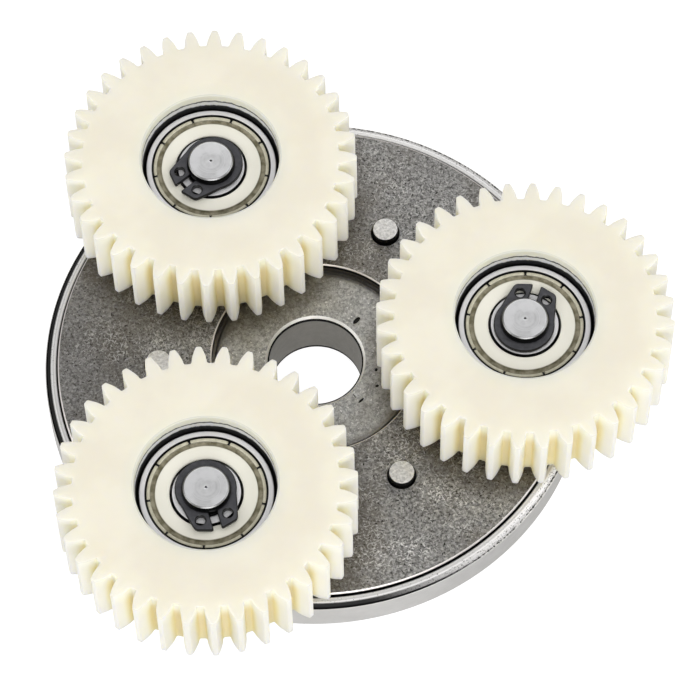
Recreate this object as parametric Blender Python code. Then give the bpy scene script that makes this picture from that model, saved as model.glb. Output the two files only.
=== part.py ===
"""Planet carrier of a geared hub motor, with its one-way clutch and three nylon planets.

Blender 4.5 script. Metres, +Z up. The origin is on the clutch's axis, in the plane of the
inner race's lower face. Planet 1 is on +X and the others follow at 120 and 240 degrees.
"""
import math

import bmesh
import bpy
from mathutils import Matrix, Vector

MM = 0.001

# Driving dimensions
MODULE = 1.25 * MM
PLANET_TEETH = 36
SUN_TEETH = 18
PRESSURE_ANGLE = math.radians(20)
BACKLASH = 0.12 * MM
PLANET_COUNT = 3
PLANET_CIRCLE = MODULE * (SUN_TEETH + PLANET_TEETH) / 2

GEAR_THICKNESS = 13.0 * MM
GEAR_TOP = 27.0 * MM
GEAR_BASE = GEAR_TOP - GEAR_THICKNESS

BEARING_BORE = 4.0 * MM
BEARING_RADIUS = 11.0 * MM
BEARING_WIDTH = 7.0 * MM
BEARING_TOP = GEAR_TOP - 3.6 * MM
BALL_RADIUS = 3.969 / 2 * MM
BALL_CIRCLE = 7.5 * MM
BALL_COUNT = 7
SHIELD_SUNK = 0.15 * MM

PLATE_TOP = 12.1 * MM
PLATE_THICKNESS = 2.0 * MM
PLATE_RADIUS = 42.0 * MM
PLATE_HOLE = 16.9 * MM

SHELL_RADIUS = 44.1 * MM
SHELL_BASE = 4.9 * MM
SHELL_BAND_TOP = 10.8 * MM
BACK_PLATE_THICKNESS = 1.5 * MM

RACE_TOP = 10.7 * MM
RACE_TRACK = 19.0 * MM
RACE_JOURNAL = 16.5 * MM
AXLE_BORE = 7.6 * MM
BORE_CHAMFER = 0.65 * MM
KEYWAY_WIDTH = 5.0 * MM
KEYWAY_DEPTH = 2.3 * MM
KEYWAY_ANGLE = math.radians(227.5)

PIN_RADIUS = 3.9 * MM
PIN_TOP = GEAR_TOP - 1.5 * MM
PIN_COLLAR = 5.6 * MM

RIVET_RADIUS = 2.1 * MM
RIVET_CIRCLE = 25.5 * MM
RIVET_TOP = PLATE_TOP + 1.4 * MM
RIVET_BASE = SHELL_BASE - 2.25 * MM
RIVET_FIRST = math.radians(63)

CIRCLIP_THICKNESS = 0.8 * MM

ROLLER_COUNT = 6
ROLLER_RADIUS = 2.9 * MM
ROLLER_FIRST = math.radians(33)
POCKET_NARROW_END = math.radians(-9)
POCKET_WIDE_END = math.radians(18)

# Clearance between fixed pieces, and between pieces that seat on each other
GAP = 0.3 * MM
FIT = 0.1 * MM

# How far a cutter runs past the face that it opens
OVERCUT = 1.0 * MM

PLATE_BASE = PLATE_TOP - PLATE_THICKNESS
ROLLER_BASE = SHELL_BASE + GAP
ROLLER_TOP = PLATE_BASE - 2 * GAP

# Where each planet's first tooth and each circlip's opening stand at rest
TOOTH_PHASES = [math.radians(a) for a in (5.7, 9.0, 3.5)]
CIRCLIP_ANGLES = [math.radians(a) for a in (72, 220, 286)]

# Facets round each kind of round piece
BIG_FACETS = 48
MEDIUM_FACETS = 32
SMALL_FACETS = 20
TINY_FACETS = 12

# Edges bent more than this stay sharp
SHARP_ANGLE = math.radians(32)

# Colour, roughness and metallic value of each finish
FINISHES = {
    "nylon": ((0.90, 0.86, 0.74), 0.42, 0.0),
    "ground_steel": ((0.34, 0.33, 0.31), 0.48, 1.0),
    "turned_steel": ((0.72, 0.72, 0.71), 0.28, 1.0),
    "bearing_steel": ((0.78, 0.78, 0.77), 0.22, 1.0),
    "shield_steel": ((0.86, 0.84, 0.76), 0.35, 0.6),
    "spring_steel": ((0.10, 0.10, 0.11), 0.40, 0.9),
    "cage_steel": ((0.55, 0.52, 0.45), 0.35, 0.9),
}


def clear_scene():
    for obj in list(bpy.data.objects):
        bpy.data.objects.remove(obj, do_unlink=True)


def make_material(name, finish):
    colour, roughness, metallic = FINISHES[finish]
    material = bpy.data.materials.new(name)
    material.use_nodes = True
    shader = material.node_tree.nodes["Principled BSDF"]
    shader.inputs["Base Color"].default_value = (*colour, 1)
    shader.inputs["Roughness"].default_value = roughness
    shader.inputs["Metallic"].default_value = metallic
    return material


def mesh_from(bm, name):
    """Turn a bmesh into a mesh with outward faces, smooth where its facets are shallow."""
    bmesh.ops.remove_doubles(bm, verts=bm.verts, dist=1e-7)
    bmesh.ops.recalc_face_normals(bm, faces=bm.faces)
    mesh = bpy.data.meshes.new(name)
    bm.to_mesh(mesh)
    bm.free()
    mesh.shade_smooth()
    mesh.set_sharp_from_angle(angle=SHARP_ANGLE)
    return mesh


def turned(name, profile, facets, turn=0.0):
    """Spin a profile of (radius, height) points about Z. A profile that starts and ends on
    the axis makes a solid rod, and any other is closed into a ring."""
    bm = bmesh.new()
    rot = Matrix.Rotation(turn, 4, "Z")
    verts = [bm.verts.new(rot @ Vector((r, 0, z))) for r, z in profile]
    edges = [bm.edges.new(pair) for pair in zip(verts, verts[1:])]
    if profile[0][0] > 0:
        edges.append(bm.edges.new((verts[-1], verts[0])))
    bmesh.ops.spin(bm, geom=verts + edges, cent=(0, 0, 0), axis=(0, 0, 1),
                   angle=2 * math.pi, steps=facets, use_merge=True)
    return mesh_from(bm, name)


def prism(name, outline, bottom, top):
    """Extrude a closed (x, y) outline from bottom to top."""
    bm = bmesh.new()
    face = bm.faces.new([bm.verts.new((x, y, bottom)) for x, y in outline])
    raised = bmesh.ops.extrude_face_region(bm, geom=[face])
    moved = [v for v in raised["geom"] if isinstance(v, bmesh.types.BMVert)]
    bmesh.ops.translate(bm, verts=moved, vec=(0, 0, top - bottom))
    return mesh_from(bm, name)


def add_object(name, mesh, parent=None, angle=0.0):
    obj = bpy.data.objects.new(name, mesh)
    bpy.context.collection.objects.link(obj)
    obj.parent = parent
    obj.rotation_euler.z = angle
    return obj


def add_piece(name, shape, finish, parent, angle=0.0, height=0.0):
    """Place one copy of a shape as a piece of its own, with its own material."""
    mesh = shape.copy()
    mesh.name = name
    mesh.materials.clear()
    mesh.materials.append(make_material(name, finish))
    obj = add_object(name, mesh, parent, angle)
    obj.location.z = height
    return obj


def add_empty(name, x, y, parent=None):
    empty = bpy.data.objects.new(name, None)
    bpy.context.collection.objects.link(empty)
    empty.location = (x, y, 0)
    empty.parent = parent
    return empty


def carve(mesh, cutters, operation="DIFFERENCE"):
    """Cut or join meshes one after another and return the finished mesh."""
    body = add_object("carved_body", mesh)
    tools = [add_object("cutter", cutter) for cutter in cutters]
    for tool in tools:
        tool.hide_render = True
        tool.display_type = "WIRE"
        step = body.modifiers.new("cut", "BOOLEAN")
        step.operation = operation
        step.solver = "EXACT"
        step.object = tool
    bpy.context.view_layer.update()
    graph = bpy.context.evaluated_depsgraph_get()
    result = bpy.data.meshes.new_from_object(body.evaluated_get(graph))
    result.name = mesh.name
    for obj in [body] + tools:
        bpy.data.objects.remove(obj, do_unlink=True)
    result.shade_smooth()
    result.set_sharp_from_angle(angle=SHARP_ANGLE)
    return result


def rod(radius, bottom, top, facets, x=0.0, y=0.0):
    """An upright cylinder that cuts a round hole."""
    bm = bmesh.new()
    bmesh.ops.create_cone(bm, cap_ends=True, segments=facets, radius1=radius, radius2=radius,
                          depth=top - bottom, matrix=Matrix.Translation((x, y, (top + bottom) / 2)))
    return mesh_from(bm, "rod")


def polar(radius, angle):
    return (radius * math.cos(angle), radius * math.sin(angle))


def around(count, first=0.0):
    return [first + 2 * math.pi * i / count for i in range(count)]


# Gears

def involute_angle(radius, base):
    """Polar angle that an involute has turned through where it reaches this radius."""
    if radius <= base:
        return 0.0
    t = math.sqrt((radius / base) ** 2 - 1)
    return t - math.atan(t)


def gear_outline(flank_steps):
    pitch = MODULE * PLANET_TEETH / 2
    base = pitch * math.cos(PRESSURE_ANGLE)
    tip = pitch + MODULE
    root = pitch - 1.25 * MODULE
    half_tooth = math.pi / (2 * PLANET_TEETH) - BACKLASH / (2 * pitch)
    at_pitch = involute_angle(pitch, base)
    points = []
    for tooth in around(PLANET_TEETH):
        flank = []
        for i in range(flank_steps):
            radius = root + (tip - root) * i / (flank_steps - 1)
            half = half_tooth + at_pitch - involute_angle(radius, base)
            flank.append((radius, half))
        points += [polar(radius, tooth - half) for radius, half in flank]
        points += [polar(radius, tooth + half) for radius, half in reversed(flank)]
    return points


def planet_gear_mesh():
    seat = BEARING_RADIUS + FIT
    floor = BEARING_TOP - BEARING_WIDTH - FIT
    through_hole = BEARING_RADIUS - 1.6 * MM
    mouth = seat + 0.2 * MM
    mouth_depth = 0.6 * MM
    blank = prism("planet_gear", gear_outline(3), GEAR_BASE, GEAR_TOP)
    bore = turned("bearing_seat", [
        (0, GEAR_TOP + OVERCUT),
        (mouth, GEAR_TOP + OVERCUT),
        (mouth, GEAR_TOP),
        (seat, GEAR_TOP - mouth_depth),
        (seat, floor),
        (through_hole, floor),
        (through_hole, GEAR_BASE - OVERCUT),
        (0, GEAR_BASE - OVERCUT),
    ], MEDIUM_FACETS)
    return carve(blank, [bore])


# Ball bearing, 8 x 22 x 7, centred on its own middle plane

def outer_ring_mesh():
    half = BEARING_WIDTH / 2
    edge = 0.35 * MM
    shoulder = 9.0 * MM
    recess = 9.65 * MM
    recess_floor = half - 0.9 * MM
    return turned("bearing_outer_ring", [
        (BEARING_RADIUS - edge, half),
        (BEARING_RADIUS, half - edge),
        (BEARING_RADIUS, -half + edge),
        (BEARING_RADIUS - edge, -half),
        (recess, -half),
        (recess, -recess_floor),
        (shoulder, -recess_floor),
        (BALL_CIRCLE + BALL_RADIUS + FIT, 0),
        (shoulder, recess_floor),
        (recess, recess_floor),
        (recess, half),
    ], MEDIUM_FACETS)


def inner_ring_mesh():
    half = BEARING_WIDTH / 2
    shoulder = 5.6 * MM
    return turned("bearing_inner_ring", [
        (shoulder, half),
        (BALL_CIRCLE - BALL_RADIUS - FIT, 0),
        (shoulder, -half),
        (BEARING_BORE, -half),
        (BEARING_BORE, half),
    ], SMALL_FACETS)


def shield_mesh():
    """Pressed steel shield, lying in the outer ring's recess with its face at z = 0."""
    sheet = 0.35 * MM
    rim = 9.5 * MM
    eye = 5.85 * MM
    return turned("bearing_shield", [
        (rim, 0),
        (rim, -sheet),
        (eye, -sheet),
        (eye, 0),
    ], SMALL_FACETS)


def ball_cage_mesh():
    """Seven balls held by a riveted ribbon cage."""
    half_width = 0.5 * MM
    half_height = 0.7 * MM
    cage = turned("ball_cage", [
        (BALL_CIRCLE + half_width, half_height),
        (BALL_CIRCLE + half_width, -half_height),
        (BALL_CIRCLE - half_width, -half_height),
        (BALL_CIRCLE - half_width, half_height),
    ], 2 * BALL_COUNT, turn=math.pi / (2 * BALL_COUNT))
    balls = []
    for angle in around(BALL_COUNT):
        bm = bmesh.new()
        place = Matrix.Translation((*polar(BALL_CIRCLE, angle), 0)) @ Matrix.Rotation(angle, 4, "Z")
        bmesh.ops.create_uvsphere(bm, u_segments=8, v_segments=4, radius=BALL_RADIUS, matrix=place)
        balls.append(mesh_from(bm, "ball"))
    return carve(cage, balls, "UNION")


# Carrier and clutch

def pin_places():
    return [polar(PLANET_CIRCLE, a) for a in around(PLANET_COUNT)]


def rivet_places():
    return [polar(RIVET_CIRCLE, a) for a in around(PLANET_COUNT, RIVET_FIRST)]


def fastener_holes(bottom, top, with_pins):
    """Cutters for the rivets' holes, and the pins' holes, through a disc from bottom to top."""
    low = bottom - OVERCUT
    high = top + OVERCUT
    holes = [rod(RIVET_RADIUS + GAP, low, high, TINY_FACETS, x, y) for x, y in rivet_places()]
    if with_pins:
        holes += [rod(PIN_RADIUS + GAP, low, high, SMALL_FACETS, x, y) for x, y in pin_places()]
    return holes


def carrier_plate_mesh():
    edge = 0.3 * MM
    plate = turned("carrier_plate", [
        (PLATE_RADIUS - edge, PLATE_TOP),
        (PLATE_RADIUS, PLATE_TOP - edge),
        (PLATE_RADIUS, PLATE_BASE),
        (PLATE_HOLE, PLATE_BASE),
        (PLATE_HOLE, PLATE_TOP - edge),
        (PLATE_HOLE + edge, PLATE_TOP),
    ], BIG_FACETS)
    return carve(plate, fastener_holes(PLATE_BASE, PLATE_TOP, with_pins=True))


def back_plate_mesh():
    top = SHELL_BASE - GAP
    base = top - BACK_PLATE_THICKNESS
    plate = turned("back_plate", [
        (PLATE_RADIUS, top),
        (PLATE_RADIUS, base),
        (PLATE_HOLE, base),
        (PLATE_HOLE, top),
    ], BIG_FACETS)
    return carve(plate, fastener_holes(base, top, with_pins=False))


def cam_outline():
    """Inside of the clutch shell: a round clearance over the race's track with one pocket
    for each roller, wide at the spring's end and narrow where the roller wedges."""
    clearance = RACE_TRACK + GAP
    narrow_depth = 24.6 * MM
    wide_depth = 26.6 * MM
    ramp_points = 3
    land_points = 4
    pocket = POCKET_WIDE_END - POCKET_NARROW_END
    land = 2 * math.pi / ROLLER_COUNT - pocket
    points = []
    for centre in around(ROLLER_COUNT, ROLLER_FIRST):
        start = centre + POCKET_NARROW_END
        end = centre + POCKET_WIDE_END
        points.append(polar(clearance, start))
        for i in range(ramp_points + 1):
            share = i / ramp_points
            depth = narrow_depth + (wide_depth - narrow_depth) * share
            points.append(polar(depth, start + pocket * share))
        points.append(polar(clearance, end))
        for i in range(1, land_points + 1):
            points.append(polar(clearance, end + land * i / (land_points + 1)))
    return points


def clutch_shell_mesh():
    """Cup with the cam inside it, a plain band outside and a rounded shoulder that stands
    round the plate's edge."""
    floor = PLATE_BASE - GAP
    recess = PLATE_RADIUS + GAP
    edge = 0.25 * MM
    rim_land = 0.1 * MM
    shoulder_outside = SHELL_RADIUS - edge
    shoulder_width = shoulder_outside - recess - rim_land
    shoulder_height = 0.7 * MM
    starter_bore = RACE_TRACK - 1.0 * MM
    shoulder = []
    for angle in (0, math.radians(30), math.radians(60), math.radians(90)):
        shoulder.append((shoulder_outside - shoulder_width * (1 - math.sin(angle)),
                         SHELL_BAND_TOP + shoulder_height * math.cos(angle)))
    blank = turned("clutch_shell", [
        *shoulder,
        (SHELL_RADIUS, SHELL_BAND_TOP - edge),
        (SHELL_RADIUS, SHELL_BASE + edge),
        (SHELL_RADIUS - edge, SHELL_BASE),
        (starter_bore, SHELL_BASE),
        (starter_bore, floor),
        (recess, floor),
        (recess, SHELL_BAND_TOP + shoulder_height),
    ], BIG_FACETS)
    cam = prism("cam", cam_outline(), SHELL_BASE - OVERCUT, floor + OVERCUT)
    return carve(blank, [cam] + fastener_holes(SHELL_BASE, floor, with_pins=True))


def inner_race_mesh():
    track_base = SHELL_BASE
    track_top = PLATE_BASE - GAP
    race = turned("inner_race", [
        (AXLE_BORE + BORE_CHAMFER, RACE_TOP),
        (RACE_JOURNAL, RACE_TOP),
        (RACE_JOURNAL, track_top),
        (RACE_TRACK, track_top),
        (RACE_TRACK, track_base),
        (RACE_JOURNAL, track_base),
        (RACE_JOURNAL, 0),
        (AXLE_BORE + BORE_CHAMFER, 0),
        (AXLE_BORE, BORE_CHAMFER),
        (AXLE_BORE, RACE_TOP - BORE_CHAMFER),
    ], BIG_FACETS)
    half = KEYWAY_WIDTH / 2
    reach = AXLE_BORE + KEYWAY_DEPTH
    slot = [(0, -half), (reach, -half), (reach, half), (0, half)]
    turn = Matrix.Rotation(KEYWAY_ANGLE, 2)
    outline = [tuple(turn @ Vector(point)) for point in slot]
    return carve(race, [prism("keyway", outline, -OVERCUT, RACE_TOP + OVERCUT)])


def roller_mesh():
    return turned("roller", [
        (0, ROLLER_TOP),
        (ROLLER_RADIUS, ROLLER_TOP),
        (ROLLER_RADIUS, ROLLER_BASE),
        (0, ROLLER_BASE),
    ], SMALL_FACETS)


def roller_spring_mesh():
    """Folded leaf spring between its roller, at angle 0, and the pocket's wide end."""
    first = math.radians(9.2)
    last = POCKET_WIDE_END - math.radians(1)
    inner_fold = 20.4 * MM
    outer_fold = 24.2 * MM
    half_fold = 0.5 * MM
    folds = 5
    centre_line = []
    for i in range(folds + 1):
        radius = outer_fold if i % 2 else inner_fold
        centre_line.append((radius, first + (last - first) * i / folds))
    outline = [polar(radius - half_fold, angle) for radius, angle in centre_line]
    outline += [polar(radius + half_fold, angle) for radius, angle in reversed(centre_line)]
    return prism("roller_spring", outline, ROLLER_BASE + GAP, ROLLER_TOP - GAP)


def planet_pin_mesh():
    edge = 0.25 * MM
    groove = 3.7 * MM
    collar_top = BEARING_TOP - BEARING_WIDTH - FIT
    clip_base = BEARING_TOP + FIT
    clip_top = clip_base + CIRCLIP_THICKNESS + FIT
    return turned("planet_pin", [
        (0, PIN_TOP),
        (PIN_RADIUS - edge, PIN_TOP),
        (PIN_RADIUS, PIN_TOP - edge),
        (PIN_RADIUS, clip_top),
        (groove, clip_top),
        (groove, clip_base - FIT),
        (PIN_RADIUS, clip_base - FIT),
        (PIN_RADIUS, collar_top),
        (PIN_COLLAR, collar_top),
        (PIN_COLLAR, PLATE_TOP + GAP),
        (PIN_RADIUS, PLATE_TOP + GAP),
        (PIN_RADIUS, SHELL_BASE + GAP),
        (0, SHELL_BASE + GAP),
    ], SMALL_FACETS)


def rivet_mesh():
    edge = 0.3 * MM
    return turned("rivet", [
        (0, RIVET_TOP),
        (RIVET_RADIUS - edge, RIVET_TOP),
        (RIVET_RADIUS, RIVET_TOP - edge),
        (RIVET_RADIUS, RIVET_BASE + edge),
        (RIVET_RADIUS - edge, RIVET_BASE),
        (0, RIVET_BASE),
    ], TINY_FACETS)


def circlip_mesh():
    """Retaining ring for an 8 mm shaft. Its opening faces +X, with an eyed lug on each side."""
    inside = 3.8 * MM
    back_radius = 4.9 * MM
    back_shift = 0.4 * MM
    back_start = math.radians(66)
    back_steps = 8
    inside_steps = 10
    gap_half = 0.65 * MM
    lug_reach = 7.0 * MM
    lug = [(lug_reach, gap_half), polar(lug_reach, math.radians(30)), polar(5.7 * MM, math.radians(44))]
    eye_radius = 0.75 * MM
    eye_x, eye_y = polar(5.25 * MM, math.radians(25))
    back = []
    for i in range(back_steps + 1):
        x, y = polar(back_radius, back_start + (math.pi - back_start) * i / back_steps)
        back.append((x - back_shift, y))
    start = math.asin(gap_half / inside)
    inner = [polar(inside, start + (math.pi - start) * i / inside_steps) for i in range(inside_steps + 1)]
    upper = lug + back
    lower = [(x, -y) for x, y in reversed(upper[:-1])]
    inner_lower = [(x, -y) for x, y in inner]
    outline = upper + lower + inner_lower + inner[-2::-1]
    base = BEARING_TOP + FIT
    top = base + CIRCLIP_THICKNESS
    ring = prism("circlip", outline, base, top)
    eyes = [rod(eye_radius, base - OVERCUT, top + OVERCUT, TINY_FACETS, eye_x, side * eye_y)
            for side in (1, -1)]
    return carve(ring, eyes)


def build():
    clear_scene()
    carrier = add_empty("carrier_frame", 0, 0)
    add_piece("carrier_plate", carrier_plate_mesh(), "ground_steel", carrier)
    add_piece("clutch_shell", clutch_shell_mesh(), "turned_steel", carrier)
    add_piece("back_plate", back_plate_mesh(), "ground_steel", carrier)
    add_piece("inner_race", inner_race_mesh(), "ground_steel", carrier)

    rivet = rivet_mesh()
    for number, (x, y) in enumerate(rivet_places(), 1):
        spot = add_empty(f"rivet_axis_{number}", x, y, carrier)
        add_piece(f"rivet_{number}", rivet, "turned_steel", spot)

    roller = roller_mesh()
    spring = roller_spring_mesh()
    track = RACE_TRACK + GAP + ROLLER_RADIUS
    for number, angle in enumerate(around(ROLLER_COUNT, ROLLER_FIRST), 1):
        spot = add_empty(f"roller_axis_{number}", *polar(track, angle), carrier)
        add_piece(f"clutch_roller_{number}", roller, "bearing_steel", spot)
        add_piece(f"roller_spring_{number}", spring, "spring_steel", carrier, angle)

    gear = planet_gear_mesh()
    outer_ring = outer_ring_mesh()
    inner_ring = inner_ring_mesh()
    shield = shield_mesh()
    cage = ball_cage_mesh()
    pin = planet_pin_mesh()
    circlip = circlip_mesh()
    middle = BEARING_TOP - BEARING_WIDTH / 2
    shield_height = BEARING_WIDTH / 2 - SHIELD_SUNK
    for i, (x, y) in enumerate(pin_places()):
        number = i + 1
        phase = TOOTH_PHASES[i]
        axle = add_empty(f"planet_axis_{number}", x, y, carrier)
        add_piece(f"planet_pin_{number}", pin, "turned_steel", axle)
        add_piece(f"circlip_{number}", circlip, "spring_steel", axle, CIRCLIP_ANGLES[i])
        add_piece(f"planet_gear_{number}", gear, "nylon", axle, phase)
        add_piece(f"bearing_outer_ring_{number}", outer_ring, "bearing_steel", axle, phase, middle)
        add_piece(f"bearing_inner_ring_{number}", inner_ring, "bearing_steel", axle, 0, middle)
        add_piece(f"ball_cage_{number}", cage, "cage_steel", axle, 0, middle)
        add_piece(f"upper_shield_{number}", shield, "shield_steel", axle, phase, middle + shield_height)
        lower = add_piece(f"lower_shield_{number}", shield, "shield_steel", axle, phase,
                          middle - shield_height)
        lower.rotation_euler.x = math.pi
    bpy.context.view_layer.update()


build()
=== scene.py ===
"""The looks of a hub motor's planet carrier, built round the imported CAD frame.

Every piece is turned, lofted or cut in mesh code and stands where its CAD node stands.
Profiles are in millimetres, as (radius, height, corner radius) round a vertical axis.
"""
import math

import bmesh
import bpy
from mathutils import Matrix, Vector


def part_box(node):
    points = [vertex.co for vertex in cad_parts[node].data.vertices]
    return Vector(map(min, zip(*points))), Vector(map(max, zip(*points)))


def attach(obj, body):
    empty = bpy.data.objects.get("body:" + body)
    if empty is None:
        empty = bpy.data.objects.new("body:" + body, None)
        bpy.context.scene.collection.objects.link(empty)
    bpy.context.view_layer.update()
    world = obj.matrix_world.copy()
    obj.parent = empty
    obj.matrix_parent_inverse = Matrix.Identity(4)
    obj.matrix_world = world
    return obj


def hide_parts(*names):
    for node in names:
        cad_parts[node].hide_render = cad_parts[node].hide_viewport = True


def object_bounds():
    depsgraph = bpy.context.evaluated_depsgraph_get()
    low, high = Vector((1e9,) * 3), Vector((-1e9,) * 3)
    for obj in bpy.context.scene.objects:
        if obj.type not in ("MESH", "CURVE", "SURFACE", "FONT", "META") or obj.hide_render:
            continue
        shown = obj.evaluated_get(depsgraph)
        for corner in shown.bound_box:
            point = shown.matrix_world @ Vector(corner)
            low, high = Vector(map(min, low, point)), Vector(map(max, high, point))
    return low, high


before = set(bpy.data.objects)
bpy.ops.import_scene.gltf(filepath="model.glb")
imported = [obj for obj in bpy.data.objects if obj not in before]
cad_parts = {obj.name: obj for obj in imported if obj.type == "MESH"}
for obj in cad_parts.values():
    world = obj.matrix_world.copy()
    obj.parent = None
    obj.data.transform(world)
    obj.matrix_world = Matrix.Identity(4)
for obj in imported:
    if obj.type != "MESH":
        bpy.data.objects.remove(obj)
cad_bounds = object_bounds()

MM = 0.001
PLANETS = (1, 2, 3)
ROLLERS = range(1, 7)

# Camera: an orbit, in millimetres and degrees, round a point near the middle of the gears' top
# faces. Its lens and sensor are in millimetres and its reach in metres.
CAMERA_TARGET = (5.757, -6.24, 27.0)
CAMERA_AZIMUTH = 0.707
CAMERA_ELEVATION = 63.574
CAMERA_DISTANCE = 609.97
CAMERA_ROLL = -1.008
CAMERA_LENS = 197.6
CAMERA_REACH = 10
SENSOR = 36.0

# Dome: heights, as sines of elevation, where the horizon ends and the dome is full, and the
# strength of each
HORIZON_DARK = 0.25
HORIZON_PALE = 0.6
HORIZON_STRENGTH = 0.06
DOME_STRENGTH = 0.53

# Floor: its glow towards the camera and towards the object, its half width in metres, and how
# many millimetres it lies below the object
FLOOR_GLOW = 0.97
FLOOR_BOUNCE = 0.33
FLOOR_REACH = 3.0
FLOOR_DROP = 0.02

# Softboxes: the direction from the object to each, and its power in watts. The distance, size
# and target are in metres.
LIGHT_DISTANCE = 2.0
LIGHT_SIZE = 1.4
LIGHT_TARGET = (0, 0, 0.01)
SOFTBOXES = {
    "right_softbox": ((1.0, 0.1, 0.45), 16.0),
    "left_softbox": ((-1.0, -0.2, 0.45), 16.0),
    "back_softbox": ((0.1, 1.0, 0.5), 8.0),
    "front_softbox": ((0.15, -1.0, 0.6), 24.0),
}

# Facets in a full turn
ROUND = 192
SHELL_ROUND = 288
SHIELD_ROUND = 270
LARGE_ROUND = 256
SMALL_ROUND = 96
RIVET_ROUND = 64
HOLE_ROUND = 48
EYE_ROUND = 24
DENT_ROUND = 16

# A rounded corner takes less than half of a short side, and its curve has this many steps
FILLET_SHARE = 0.49
FILLET_STEPS = 5

# Edges up to these angles are shaded smooth
SMOOTH_BELOW = math.radians(40)
CUT_SMOOTH_BELOW = math.radians(30)

# Millimetres that a cutter reaches past the face it cuts
OVERCUT = 1


# Places taken from the frame

def axis_of(node):
    """Centre of a round node in plan, in millimetres."""
    low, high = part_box(node)
    return ((low[0] + high[0]) / 2 / MM, (low[1] + high[1]) / 2 / MM)


def heights_of(node):
    """Lowest and highest point of a node, in millimetres."""
    low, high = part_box(node)
    return low[2] / MM, high[2] / MM


def radius_of(node):
    low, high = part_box(node)
    return (high[0] - low[0]) / 2 / MM


PIN_PLACES = [axis_of(f"planet_pin_{i}") for i in PLANETS]
RIVET_PLACES = [axis_of(f"rivet_{i}") for i in PLANETS]
ROLLER_PLACES = [axis_of(f"clutch_roller_{i}") for i in ROLLERS]
PLANET_CIRCLE = math.hypot(*PIN_PLACES[0])
PIN_BASE, PIN_TOP = heights_of("planet_pin_1")
RIVET_BASE, RIVET_TOP = heights_of("rivet_1")
GEAR_BASE, GEAR_TOP = heights_of("planet_gear_1")
BEARING_BASE, BEARING_TOP = heights_of("bearing_outer_ring_1")
CLIP_BASE, CLIP_TOP = heights_of("circlip_1")
PLATE_BASE, PLATE_TOP = heights_of("carrier_plate")
SHELL_BASE, SHELL_TOP = heights_of("clutch_shell")
BACK_BASE, BACK_TOP = heights_of("back_plate")
RACE_BASE, RACE_TOP = heights_of("inner_race")
BEARING_RADIUS = radius_of("bearing_outer_ring_1")
RIVET_RADIUS = radius_of("rivet_1")
PIN_COLLAR = radius_of("planet_pin_1")
PLATE_RADIUS = radius_of("carrier_plate")
SHELL_RADIUS = radius_of("clutch_shell")
RACE_TRACK = radius_of("inner_race")

# How each planet's teeth, circlip and shields are turned
TOOTH_PHASES = [math.radians(a) for a in (5.7, 9.0, 3.5)]
CIRCLIP_ANGLES = [math.radians(a) for a in (72, 220, 286)]
SHIELD_TURNS = [math.radians(a) for a in (-2, -20, -22)]

# Gear teeth: a 36-tooth planet runs round an 18-tooth sun
PLANET_TEETH = 36
SUN_TEETH = 18
MODULE = 2 * PLANET_CIRCLE / (PLANET_TEETH + SUN_TEETH)
PRESSURE_ANGLE = math.radians(20)
DEDENDUM = 1.25 * MODULE
BACKLASH = 0.02
ROOT_ROUND = 0.5
TIP_ROUND = 0.16
TIP_EXTRA = 0.1
TIP_LAND = 0.55
TOP_ROUND = 0.15
BASE_ROUND = 0.12
FLANK_STEPS = 5
CORNER_STEPS = 4

# Gear: radii of its plain face and of the bearing's seat
GEAR_FACE = 19.9
SEAT_MOUTH = 11.3
SEAT_THROAT = 11.2
SEAT_LIP = 9.4
SEAT_GAP = 0.12

# How far the seats lie below the bearing
SEAT_DROP = 0.1

# Bearing: radii of the rings' faces and tracks, and of the shield's steps
RING_EDGE = 9.7
RING_SHOULDER = 10.55
OUTER_TRACK = 9.05
OUTER_GROOVE = 9.58
COLLAR_EDGE = 5.42
COLLAR_BORE = 4.02
INNER_TRACK = 5.55
INNER_GROOVE = 5.4
TRACK_INSET = 2.2
SHIELD_DROP = 0.04
SHIELD_RIM = 9.48
SHIELD_CRIMP = 8.88
SHIELD_STEP = 8.1
SHIELD_EDGE = 5.85
NOTCH_COUNT = 9
NOTCH_FIRST = math.radians(10)
NOTCH_HALF_WIDTH = 0.24
NOTCH_DEPTH = 0.3

# Circlip: a lug's corners as (radius, angle in degrees, corner radius), then the arcs of its
# back and inside, which start at these angles from the opening
CLIP_INSIDE = 3.8
CLIP_LUG = [(CLIP_INSIDE, 9.9, 0), (7.0, 5.3, 0.4), (7.05, 29.5, 0.6), (5.7, 44, 0.5)]
CLIP_BACK_RADIUS = 4.9
CLIP_BACK_SHIFT = 0.4
CLIP_BACK_START = 66
CLIP_BACK_STEPS = 11
CLIP_INSIDE_START = 10
CLIP_INSIDE_STEPS = 24
CLIP_BEVEL = 0.26
CLIP_BEVEL_ABOVE = math.radians(60)
EYE_RADIUS = 0.75
EYE_CIRCLE = 5.25
EYE_ANGLE = math.radians(25)
EYE_CHAMFER = 0.2

# Pin, and the play of the circlip in its groove
PIN_FACE = 3.45
PIN_RADIUS = 3.93
PIN_GROOVE = 3.74
PIN_DIMPLE = 0.22
CLIP_GAP = 0.1

# Plates
PLATE_HOLE = 16.9
PLATE_CHAMFER = 0.25
PIN_HOLE = 4.2
RIVET_GAP = 0.3
BACK_RIVET_GAP = 0.03

# Clutch shell: radii from the plate's recess out to the band, and the rollers' ramps, whose
# angles are measured from the roller
RECESS_GAP = 0.22
SHOULDER_EDGE = 42.95
SLOPE_FOOT = 43.45
GROOVE_INSIDE = 43.72
GROOVE_OUTSIDE = 43.92
BAND_TOP = SHELL_TOP - 0.7
TRACK_GAP = 0.3
RAMP_START = math.radians(-9)
RAMP_END = math.radians(18)
RAMP_NARROW = 24.6
RAMP_WIDE = 26.6
RAMP_STEPS = 8
LAND_STEPS = 12

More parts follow.
